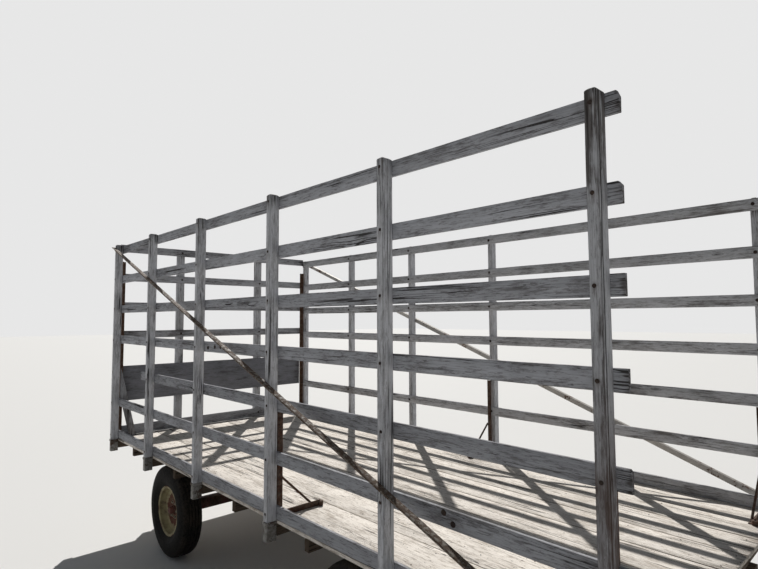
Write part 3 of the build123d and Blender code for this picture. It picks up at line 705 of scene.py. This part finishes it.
def shapeBoard(name, low, high, axis, clips=(), tone=None):
    thick = [high[i] - low[i] > boardShape["thin"] for i in range(3)]
    slack = Vector([boardShape["warp"] if wide else 0.0 for wide in thick])
    board = addBlock(name, low + slack, high - slack)
    cutAcross(axis, low[axis], high[axis], boardShape["cutEvery"])
    for place, normal in clips:
        clipCorner(board, place, normal)
    warpBoard(boardShape["warp"])
    soften(board, boardShape["edge"])
    markBoard(board, axis, low, high, tone=tone)
    return board

woodNodes = ["deck_planks", "cross_sills", "long_sills", "rear_rack_posts", "rear_rack_boards"]
for name in sideNames:
    woodNodes += [f"{name}_rack_posts", f"{name}_rack_boards"]
woodBoxes = {node: solidBoxes(node) for node in woodNodes}

def middles(node, axis):
    return sorted((low[axis] + high[axis]) / 2 for low, high in woodBoxes[node])

boardMiddles = middles("left_rack_boards", 2)
# how far a bolt's rust reaches before and after it
boardStain = (0.018, 0.018)
postStain = (0.05, 0.014)
rackBoardMaterials = {}
# the left boards take the copy with painted bounce light
for name, values in {"right": rackWood, "left": leftRackWoodPaintedLight}.items():
    postXs = middles(f"{name}_rack_posts", 0)
    rackBoardMaterials[name] = woodMaterial(f"{name}BoardWood", values, 0, postXs, boardStain)
rackPostMaterial = woodMaterial("rackPostWood", postWood, 2, boardMiddles, postStain, cracked=True)
plainBoardMaterial = woodMaterial("rearBoardWood", rackWood)
deckMaterial = woodMaterial("deckWood", deckWood, straw=True)
sillMaterial = woodMaterial("sillWood", sillWood)
panelMaterial = woodMaterial("panelWood", panelWood)

# how much the front ends' top corners are clipped, by board level: along and down
frontClips = {"right": {6: (0.012, 0.030), 5: (0.016, 0.020), 2: (0.008, 0.012)},
              "left": {4: (0.012, 0.016)}}

def makeRackBoards():
    for name in sideNames:
        boards = []
        for i, (low, high) in enumerate(woodBoxes[f"{name}_rack_boards"]):
            middle = (low.z + high.z) / 2
            level = boardMiddles.index(min(boardMiddles, key=lambda z: abs(z - middle)))
            clips = []
            if level in frontClips[name]:
                along, down = frontClips[name][level]
                clips.append((Vector((high.x - along, 0, high.z)), Vector((down, 0, along)).normalized()))
            boards.append(shapeBoard(f"{name}Board{i}", low, high, 0, clips))
        boards = join(f"{name}RackBoards", boards)
        finishPiece(boards, rackBoardMaterials[name], "rack_wood", f"{name}_rack_boards")

def makeRearBoards():
    boards = [shapeBoard(f"rearBoard{i}", *box, 1) for i, box in enumerate(woodBoxes["rear_rack_boards"])]
    finishPiece(join("rearRackBoards", boards), plainBoardMaterial, "rack_wood", "rear_rack_boards")

# posts keep the CAD's outline: a shaft with a worn top and a tenon in the pocket
postShape = {"cutEvery": 0.30, "warp": 0.0012, "edge": 0.0035, "topWear": 0.011, "topDrop": 0.8,
             "seatDepth": 0.006, "shoulder": 0.005, "tenonLap": 0.002}
postTones = {"level": (0.45, 0.85), "paint": (0.55, 0.95)}
tiredPosts = {("right", 5): (-0.35, -0.15, nearPost["tone"]), ("left", 5): (0.5, 0.25, 0.8)}
postSeat = deckTop - postShape["seatDepth"]

def shapePost(name, low, high, inward, tone=None):
    base = Vector((low.x, low.y, postSeat))
    post = addBlock(name, base, high - Vector((0, 0, postShape["warp"])))
    cutAcross(2, postSeat, high.z, postShape["cutEvery"])
    warpBoard(postShape["warp"])
    startEdit()
    bpy.ops.mesh.select_all(action="DESELECT")
    endEdit()
    top = max(post.data.polygons, key=lambda face: face.center.z)
    for index in top.vertices:
        post.data.vertices[index].select = True
    drop = postShape["topWear"] * postShape["topDrop"]
    bpy.ops.object.mode_set(mode="EDIT")
    bpy.ops.transform.translate(value=(0, 0, -drop))
    bpy.ops.mesh.inset(thickness=postShape["topWear"], depth=0)
    bpy.ops.transform.translate(value=(0, 0, drop))
    endEdit()
    soften(post, postShape["edge"])
    step = postShape["shoulder"]
    tenonLow = Vector((low.x + step, low.y + step, low.z))
    tenonHigh = Vector((high.x - step, high.y - step, postSeat + postShape["tenonLap"]))
    if inward.y > 0:
        tenonHigh.y = high.y
    if inward.y < 0:
        tenonLow.y = low.y
    if inward.x:
        tenonHigh.x = high.x
    post = join(name, [post, addBlock(f"{name}Tenon", tenonLow, tenonHigh)])
    markBoard(post, 2, low, high, 0 if inward.y else 1, tone)
    return post

def makePosts():
    for name, side in sideNames.items():
        posts = []
        for i, box in enumerate(woodBoxes[f"{name}_rack_posts"]):
            even = drawTone(postTones)
            tone = tiredPosts.get((name, i), even)
            posts.append(shapePost(f"{name}Post{i}", *box, Vector((0, -side, 0)), tone))
        posts = join(f"{name}RackPosts", posts)
        finishPiece(posts, rackPostMaterial, "rack_wood", f"{name}_rack_posts")
    posts = []
    for i, box in enumerate(woodBoxes["rear_rack_posts"]):
        posts.append(shapePost(f"rearPost{i}", *box, Vector((1, 0, 0))))
    finishPiece(join("rearRackPosts", posts), rackPostMaterial, "rack_wood", "rear_rack_posts")

# a cross sill's left end stands back with the left posts
def shapeSill(name, low, high):
    setback = middles("right_rack_posts", 0)[0] - middles("left_rack_posts", 0)[0]
    touch = 0.001
    sill = addBlock(name, (low.x + setback, low.y, low.z), high)
    startEdit()
    bpy.ops.mesh.bisect(plane_co=(0, 0, low.z), plane_no=(0, 1, 0))
    endEdit()
    moveWhere(sill, lambda co: co.y > high.y - touch, (-setback / 2, 0, 0))
    moveWhere(sill, lambda co: co.y > -touch, (-setback / 2, 0, 0))
    warpBoard(boardShape["warp"])
    soften(sill, boardShape["edge"])
    markBoard(sill, 1, low, high)
    return sill

plankTones = {"level": (0.6, 1.05), "paint": (0.4, 1.0)}

def makeDeck():
    planks = []
    for i, box in enumerate(woodBoxes["deck_planks"]):
        planks.append(shapeBoard(f"plank{i}", *box, 0, tone=drawTone(plankTones)))
    finishPiece(join("deckPlanks", planks), deckMaterial, "deck_wood", "deck_planks")
    sills = [shapeBoard(f"longSill{i}", *box, 0) for i, box in enumerate(woodBoxes["long_sills"])]
    finishPiece(join("longSills", sills), sillMaterial, "sill_wood", "long_sills")
    sills = [shapeSill(f"crossSill{i}", *box) for i, box in enumerate(woodBoxes["cross_sills"])]
    finishPiece(join("crossSills", sills), sillMaterial, "sill_wood", "cross_sills")

strutEdge = 0.002

def makePanelAndStrut():
    panel = shapeBoard("rearPanel", *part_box("rear_panel"), 1)
    finishPiece(panel, panelMaterial, "panel_board", "rear_panel")
    strut = softCopy("rear_corner_strut", "rearCornerStrut", strutEdge)
    markBoard(strut, 2, *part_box("rear_corner_strut"))
    finishPiece(strut, plainBoardMaterial, "rack_wood", "rear_corner_strut")

makeRackBoards()
makeRearBoards()
print("rack boards shaped")
makePosts()
makeDeck()
makePanelAndStrut()
print("posts and deck shaped")

braceSteels = {
    "right": rustMaterial("rightBraceSteel", {
        "Paint": 0.44, "Dust": 0.4, "Paint Color": (0.21, 0.19, 0.165, 1),
        "Dust Color": (0.19, 0.155, 0.12, 1), "Rust Color": (0.055, 0.035, 0.026, 1),
        "Bloom Color": (0.13, 0.085, 0.058, 1),
    }, 5.0),
    "left": rustMaterial("leftBraceSteel", {
        "Paint": 0.66, "Dust": 0.3, "Paint Color": (0.50, 0.48, 0.45, 1),
        "Dust Color": (0.30, 0.26, 0.22, 1), "Rust Color": (0.10, 0.055, 0.04, 1),
        "Bloom Color": (0.26, 0.15, 0.10, 1),
    }, 1.6),
}
bracketSteel = rustMaterial("bracketSteel", {
    "Paint": 0.05, "Rust Color": (0.038, 0.020, 0.015, 1), "Bloom Color": (0.10, 0.042, 0.022, 1),
})
angleSteel = rustMaterial("angleSteel", {
    "Paint": 0.05, "Paint Color": (0.3, 0.28, 0.25, 1), "Rust Color": (0.055, 0.030, 0.020, 1),
    "Bloom Color": (0.13, 0.062, 0.034, 1),
})
pocketPaint = rustMaterial("pocketPaint", {
    "Paint": 0.56, "Dust": 0.8, "Paint Color": (0.30, 0.295, 0.28, 1),
    "Dust Color": (0.125, 0.11, 0.095, 1), "Rust Color": (0.06, 0.04, 0.03, 1),
    "Bloom Color": (0.13, 0.075, 0.05, 1),
}, 1.6)
# dark red gear paint with dirt, made darker still as painted shade for the running gear under the deck
gearPaintAndShade = rustMaterial("gearPaintAndShade", {
    "Paint": 0.50, "Dust": 0.30, "Paint Color": (0.085, 0.022, 0.017, 1),
    "Dust Color": (0.14, 0.115, 0.09, 1), "Rust Color": (0.04, 0.023, 0.017, 1),
    "Bloom Color": (0.095, 0.045, 0.026, 1),
})
hubSteel = rustMaterial("hubSteel", {
    "Paint": 0.45, "Dust": 0.25, "Paint Color": (0.12, 0.026, 0.019, 1),
    "Rust Color": (0.07, 0.025, 0.018, 1), "Bloom Color": (0.15, 0.052, 0.03, 1),
})
lugSteel = rustMaterial("lugSteel", {"Paint": 0.66, "Dust": 0.4, "Paint Color": (0.36, 0.33, 0.25, 1)})
boltSteel = rustMaterial("boltSteel", {
    "Paint": 0.0, "Dust": 0.06, "Rust Color": (0.020, 0.013, 0.011, 1),
    "Bloom Color": (0.048, 0.030, 0.023, 1),
})

# steel pieces: the node, its body, finish, record slot and how far its edges are broken
steelPieces = [
    ("rear_corner_angles", "wagon", angleSteel, "rusty_steel", 0.0012),
    ("rear_stake_pockets", "wagon", pocketPaint, "pocket_steel", 0.0012),
    ("rear_axle_beam", "wagon", gearPaintAndShade, "gear_paint", 0.003),
    ("front_axle_beam", "wagon", gearPaintAndShade, "gear_paint", 0.002),
    ("rear_bolster", "wagon", gearPaintAndShade, "gear_paint", 0.002),
    ("front_bolster", "wagon", gearPaintAndShade, "gear_paint", 0.002),
    ("reach_pole", "wagon", gearPaintAndShade, "gear_paint", 0.002),
    ("rear_hounds", "wagon", gearPaintAndShade, "gear_paint", 0.0015),
    ("steering_yoke", "steering_yoke", gearPaintAndShade, "gear_paint", 0.0015),
    ("tongue_tube", "tongue", gearPaintAndShade, "gear_paint", 0.003),
    ("hitch_clevis", "tongue", hubSteel, "rusty_steel", 0.003),
]
for name in sideNames:
    steelPieces += [
        (f"{name}_diagonal_brace", "wagon", braceSteels[name], "rusty_steel", 0.001),
        (f"{name}_knee_brackets", "wagon", bracketSteel, "rusty_steel", 0.0008),
        (f"{name}_stake_pockets", "wagon", pocketPaint, "pocket_steel", 0.0012),
        (f"{name}_knuckle", f"{name}_knuckle", gearPaintAndShade, "gear_paint", 0.0015),
        (f"{name}_tie_rod", f"{name}_tie_rod", gearPaintAndShade, "gear_paint", 0.0012),
    ]
for node, body, material, slotName, width in steelPieces:
    words = node.split("_")
    piece = softCopy(node, words[0] + "".join(word.capitalize() for word in words[1:]) + "Steel", width)
    finishPiece(piece, material, slotName, node, body=body)
print("steel pieces shaped")

# a shell turned about the Y axis through (y, radius) points, ring by ring
def turnShell(name, shape, values):
    selectNone()
    outline = shape(values)
    y, radius = outline[0]
    bpy.ops.mesh.primitive_circle_add(vertices=values["steps"], radius=radius, location=(0, y, 0),
                                      rotation=(pi / 2, 0, 0))
    shell = settle(bpy.context.object)
    shell.name = name
    startEdit()
    for nextY, nextRadius in outline[1:]:
        bpy.ops.mesh.extrude_region_move(TRANSFORM_OT_translate={"value": (0, nextY - y, 0)})
        grow = nextRadius / radius
        bpy.ops.transform.resize(value=(grow, 1, grow), center_override=(0, nextY, 0))
        y, radius = nextY, max(nextRadius, 0.00001)
    bpy.ops.mesh.select_all(action="SELECT")
    bpy.ops.mesh.remove_doubles(threshold=0.00002)
    bpy.ops.mesh.normals_make_consistent(inside=False)
    endEdit()
    bpy.ops.object.shade_smooth_by_angle(angle=radians(32))
    return shell

# tyre: ribs and grooves, rounded shoulders, walls that bulge and tuck in at the rim
tyreShape = {
    "steps": 96, "radius": 0.4025, "grooves": (0.0155, 0.0405), "grooveDepth": 0.009,
    "grooveWidth": 0.0075, "grooveSlope": 0.0015, "crown": 0.004, "treadEdge": 0.066,
}
# its shoulder, wall and bead: how far from the middle, and how far below the tread
tyreWall = [(0.058, 0.0038), (0.066, 0.0055), (0.074, 0.0095), (0.0805, 0.0155), (0.0852, 0.024),
            (0.0868, 0.033), (0.0905, 0.040), (0.0955, 0.054), (0.0995, 0.071), (0.1022, 0.090),
            (0.1015, 0.108), (0.0985, 0.125), (0.0985, 0.128), (0.0965, 0.130), (0.092, 0.143),
            (0.0845, 0.159), (0.079, 0.170), (0.0775, 0.172), (0.0775, 0.176), (0.0745, 0.182),
            (0.0705, 0.187), (0.069, 0.199)]

def tyreOutline(values):
    top, deep, wide = values["radius"], values["grooveDepth"], values["grooveWidth"] / 2
    slope = values["grooveSlope"]
    half = [(0.0, top)]
    for y in values["grooves"]:
        fall = values["crown"] * (y / values["treadEdge"]) ** 2
        half += [(y - wide, top - fall), (y - wide + slope, top - fall - deep)]
        half += [(y + wide - slope, top - fall - deep), (y + wide, top - fall)]
    half += [(y, top - drop) for y, drop in tyreWall]
    mirrored = [(-y, r) for y, r in reversed(half[1:])]
    return half + mirrored + [half[0]]

# rim: rolled lips, seat, well, dished disc with its hub bore
rimShape = {"steps": 72, "lip": 0.221, "seat": 0.203, "well": 0.177, "halfWidth": 0.075, "disc": 0.012,
            "thick": 0.007, "hub": 0.095, "bore": 0.0376}
rimValues = {
    "Dust": 0.75, "Paint Color": (0.36, 0.315, 0.17, 1), "Dust Color": (0.15, 0.115, 0.07, 1),
    "Rust Color": (0.085, 0.022, 0.017, 1), "Bloom Color": (0.14, 0.042, 0.025, 1),
}

def rimOutline(values):
    lip, seat, well, half = values["lip"], values["seat"], values["well"], values["halfWidth"]
    disc, hub, bore = values["disc"], values["hub"], values["bore"]
    back = disc - values["thick"]
    # outer lip and seat
    outline = [(0.0695, seat), (0.0700, seat + 0.008), (0.0712, lip - 0.004), (0.0732, lip)]
    outline += [(half, lip - 0.001), (half, lip - 0.005), (0.0733, lip - 0.010), (0.0722, seat)]
    # down the well and over the disc's face to its bore
    outline += [(0.069, seat - 0.005), (0.058, seat - 0.0068), (0.046, seat - 0.010)]
    outline += [(0.034, well + 0.006), (0.025, well + 0.001)]
    outline += [(0.022, well - 0.001), (0.0205, well - 0.008), (0.0185, well - 0.022), (0.0165, hub + 0.032)]
    outline += [(0.0135, hub + 0.012), (disc, hub), (disc, bore)]
    # back of the disc and the well's inside
    outline += [(back, bore), (back, hub), (0.0065, hub + 0.012), (0.0095, hub + 0.032)]
    outline += [(0.0115, well - 0.022), (0.0135, well - 0.008), (0.0135, well), (-0.022, well)]
    # inner seat and lip
    outline += [(-0.034, well + 0.006), (-0.046, seat - 0.010), (-0.069, seat - 0.006), (-0.0722, seat)]
    outline += [(-0.0733, lip - 0.010), (-half, lip - 0.005), (-half, lip - 0.001), (-0.0732, lip)]
    outline += [(-0.0712, lip - 0.004), (-0.0700, seat + 0.008), (-0.0695, seat)]
    return outline + [outline[0]]

hubShape = {"steps": 40, "barrel": 0.048, "nose": 0.037, "bore": 0.0232, "in": -0.071, "seat": 0.005,
            "out": 0.067}

def hubOutline(values):
    barrel, nose, inner, seat, out = [values[key] for key in ("barrel", "nose", "in", "seat", "out")]
    outline = [(inner, values["bore"]), (inner, barrel - 0.003), (inner + 0.003, barrel)]
    outline += [(seat - 0.016, barrel), (seat, barrel), (seat, nose), (seat + 0.020, nose)]
    outline += [(seat + 0.022, nose - 0.002), (seat + 0.026, nose - 0.002), (seat + 0.028, nose - 0.001)]
    outline += [(out - 0.016, nose - 0.003), (out - 0.007, nose - 0.008), (out - 0.002, nose - 0.018)]
    return outline + [(out, nose - 0.030), (out, 0.0001)]

# nuts: a hexagon on a washer with the bolt's end standing out
nutShape = {"sides": 6, "edge": 0.12, "studSides": 10, "studEdge": 0.15, "studSunk": 0.0005,
            "washerSides": 16, "washer": 0.78, "washerHeight": 0.002}

def hexNut(name, values):
    across, height, bolt, out = [values[key] for key in ("across", "height", "bolt", "out")]
    sides = nutShape["sides"]
    nut = addBar(sides, across / 2 / cos(pi / sides), height)
    soften(nut, height * nutShape["edge"], 1)
    stud = addBar(nutShape["studSides"], bolt, out, height - nutShape["studSunk"])
    soften(stud, bolt * nutShape["studEdge"], 1)
    washer = addBar(nutShape["washerSides"], across * nutShape["washer"], nutShape["washerHeight"])
    return join(name, [nut, stud, washer])

lugShape = {"count": 6, "circle": 0.068, "across": 0.021, "height": 0.012, "bolt": 0.0065, "out": 0.006}

def makeWheel(end, name, models):
    tyre, rim, hub, lug = models
    node = f"{end}_{name}"
    title = f"{end}{name.capitalize()}"
    body = f"{node}_wheel"
    low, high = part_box(f"{node}_tyre")
    centre = (low + high) / 2
    place = Matrix.Translation(centre) @ Matrix.Rotation(0 if sideNames[name] > 0 else pi, 4, "Z")
    rubber = tyreMaterial(f"{title}Rubber", centre)
    finishPiece(placedCopy(tyre, place, f"{title}TyreRubber"), rubber, "tyre", f"{node}_tyre", body=body)
    paint = rimMaterial(f"{title}RimPaint", centre, rimValues)
    finishPiece(placedCopy(rim, place, f"{title}RimSteel"), paint, "rim_paint", f"{node}_rim", body=body)
    finishPiece(placedCopy(hub, place, f"{title}HubSteel"), hubSteel, "pin_steel", f"{node}_hub", body=body)
    seat = Matrix.Translation((0, rimShape["disc"], lugShape["circle"])) @ Matrix.Rotation(-pi / 2, 4, "X")
    lugs = []
    for i in range(lugShape["count"]):
        turn = Matrix.Rotation(2 * pi * (i + 0.5) / lugShape["count"], 4, "Y")
        lugs.append(placedCopy(lug, place @ turn @ seat))
    finishPiece(join(f"{title}Lugs", lugs), lugSteel, "pin_steel", body=body)

def makeWheels():
    models = [turnShell("tyreModel", tyreOutline, tyreShape),
              turnShell("rimModel", rimOutline, rimShape),
              turnShell("hubModel", hubOutline, hubShape),
              hexNut("lugModel", lugShape)]
    for name in sideNames:
        for end in ("front", "rear"):
            makeWheel(end, name, models)
    discard(*models)

makeWheels()
print("wheels turned")

# rack bolts: round heads outside the posts, nuts on washers inside the boards
boltShape = {"head": 0.0085, "headHeight": 0.004, "segments": 14, "rings": 8, "across": 0.015,
             "height": 0.007, "bolt": 0.0048, "out": 0.005, "lift": 0.006, "shift": 0.005}
# larger heads on the right boards' outer face: how far along and up
spareBolts = [(1.354, 1.288), (1.407, 1.250), (-1.056, 1.930), (-0.938, 1.941), (-0.840, 1.942)]
spareBoltScale = 1.7

def roundHead(values):
    selectNone()
    bpy.ops.mesh.primitive_uv_sphere_add(segments=values["segments"], ring_count=values["rings"],
                                         radius=values["head"])
    head = bpy.context.object
    startEdit()
    bpy.ops.mesh.bisect(plane_co=(0, 0, 0), plane_no=(0, 0, -1), use_fill=True, clear_outer=True)
    bpy.ops.mesh.select_all(action="SELECT")
    bpy.ops.transform.resize(value=(1, 1, values["headHeight"] / values["head"]), center_override=(0, 0, 0))
    endEdit()
    bpy.ops.object.shade_smooth()
    return head

def sideBolts(name, side, head, nut):
    postLow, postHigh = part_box(f"{name}_rack_posts")
    boardLow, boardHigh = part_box(f"{name}_rack_boards")
    outside, inside = (postLow.y, boardHigh.y) if side < 0 else (postHigh.y, boardLow.y)
    lift, shift = boltShape["lift"], boltShape["shift"]
    copies = []
    for low, high in woodBoxes[f"{name}_rack_boards"]:
        for x in middles(f"{name}_rack_posts", 0):
            if x < low.x:
                continue
            z = (low.z + high.z) / 2 + tones.uniform(-lift, lift)
            place = x + tones.uniform(-shift, shift)
            out = Matrix.Translation((place, outside, z)) @ Matrix.Rotation(pi / 2 * -side, 4, "X")
            copies.append(placedCopy(head, out))
            turn = Matrix.Rotation(tones.uniform(0, pi), 4, "Z")
            back = Matrix.Translation((place, inside, z)) @ Matrix.Rotation(pi / 2 * side, 4, "X") @ turn
            copies.append(placedCopy(nut, back))
    return copies

def rearBolts(head, nut):
    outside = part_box("rear_rack_posts")[0].x
    copies = []
    for low, high in woodBoxes["rear_rack_boards"]:
        for y in middles("rear_rack_posts", 1):
            z = (low.z + high.z) / 2
            out = Matrix.Translation((outside, y, z)) @ Matrix.Rotation(-pi / 2, 4, "Y")
            copies.append(placedCopy(head, out))
            back = Matrix.Translation((high.x, y, z)) @ Matrix.Rotation(pi / 2, 4, "Y")
            copies.append(placedCopy(nut, back))
    return copies

def makeRackBolts():
    head = roundHead(boltShape)
    nut = hexNut("rackNutModel", boltShape)
    copies = []
    for name, side in sideNames.items():
        copies += sideBolts(name, side, head, nut)
    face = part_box("right_rack_boards")[0].y
    outwards = Matrix.Rotation(pi / 2, 4, "X") @ Matrix.Scale(spareBoltScale, 4)
    for x, z in spareBolts:
        copies.append(placedCopy(head, Matrix.Translation((x, face, z)) @ outwards))
    copies += rearBolts(head, nut)
    finishPiece(join("rackBolts", copies), boltSteel, "rusty_steel")
    discard(head, nut)

# nails through the planks into each cross sill, two to a plank
nailShape = {"sides": 8, "radius": 0.0045, "height": 0.0012, "inset": 0.045, "sunk": 0.0002,
             "along": 0.012, "across": 0.010}

def makeDeckNails():
    nail = addBar(nailShape["sides"], nailShape["radius"], nailShape["height"])
    along, across = nailShape["along"], nailShape["across"]
    copies = []
    for low, high in woodBoxes["deck_planks"]:
        for sillX in middles("cross_sills", 0):
            for row in (low.y + nailShape["inset"], high.y - nailShape["inset"]):
                x = sillX + tones.uniform(-along, along)
                y = row + tones.uniform(-across, across)
                copies.append(placedCopy(nail, Matrix.Translation((x, y, deckTop - nailShape["sunk"]))))
    finishPiece(join("deckNails", copies), boltSteel, "rusty_steel")
    discard(nail)

makeRackBolts()
makeDeckNails()
print("bolts and nails placed")
